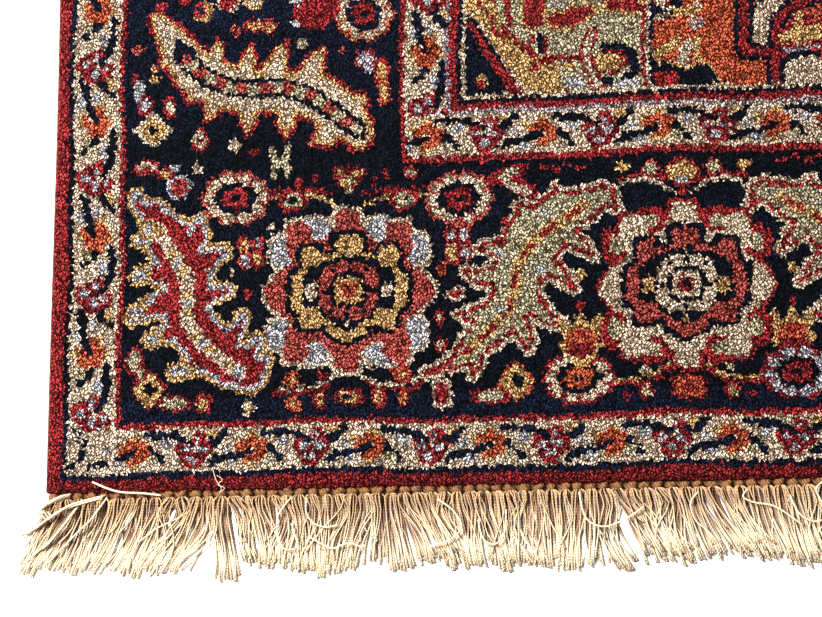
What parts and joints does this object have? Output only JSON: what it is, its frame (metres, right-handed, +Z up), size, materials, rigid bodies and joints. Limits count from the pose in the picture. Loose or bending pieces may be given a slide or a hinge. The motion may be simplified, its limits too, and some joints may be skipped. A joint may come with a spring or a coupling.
{
  "type": "fringed pile rug",
  "caption": "Flat rectangular wool pile rug with a rosette-and-leaf border round panels, and a knotted cotton fringe at each end.",
  "frame": {"origin": "middle of the underside, on the floor", "axes": "+X across the rug, +Y along it from the near fringe to the far one, +Z up through the pile"},
  "size_m": [1.7454, 2.5466, 0.01],
  "materials": {
    "wool_pile": "cut wool pile, matt",
    "cotton_fringe": "unbleached plied cotton"
  },
  "bodies": {
    "root": {"rug": "wool_pile", "fringe_near": "cotton_fringe", "fringe_far": "cotton_fringe"}
  },
  "joints": []
}
